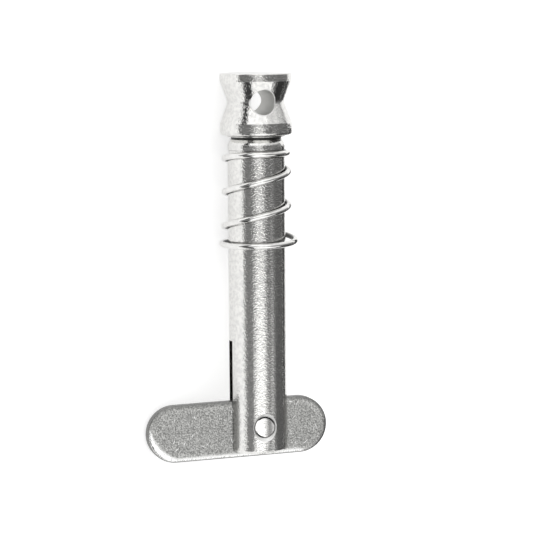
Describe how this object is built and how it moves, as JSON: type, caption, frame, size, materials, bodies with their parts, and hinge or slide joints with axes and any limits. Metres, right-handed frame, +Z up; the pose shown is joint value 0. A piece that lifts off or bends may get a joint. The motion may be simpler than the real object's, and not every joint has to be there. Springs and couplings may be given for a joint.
{
  "type": "quick release pin",
  "caption": "Turned steel pin with a waisted, cross-drilled head, a captive coil spring and a flat drop toggle riveted in its slotted end.",
  "frame": {"origin": "on the pin's axis, in the plane of the head's underside", "axes": "+X along the pin from the head to the slotted end, +Z up as the pin lies, -Y the side of the toggle's long arm"},
  "size_m": [0.0535, 0.0248, 0.0111],
  "materials": {
    "body_steel": "turned and tumbled, bright, with fine mottling",
    "toggle_steel": "blanked and tumbled, satin",
    "rivet_steel": "ends formed and ground flush, bright",
    "spring_steel": "drawn wire, bright"
  },
  "bodies": {
    "pin": {"pin_body": "body_steel", "rivet": "rivet_steel"},
    "toggle": {"toggle": "toggle_steel"},
    "spring": {"spring": "spring_steel"}
  },
  "joints": [
    {"name": "toggle_swing", "type": "hinge", "parent": "pin", "child": "toggle", "pos_m": [0.0402, 0, 0], "axis": [0, -0.2983, 0.9545], "range_deg": [-55.5, 227.5]},
    {"name": "spring_travel", "type": "slide", "parent": "pin", "child": "spring", "axis": [-1, 0, 0], "range_m": [0, 0.008], "stiffness_N_per_m": 2200, "deforming": ["spring"]}
  ]
}
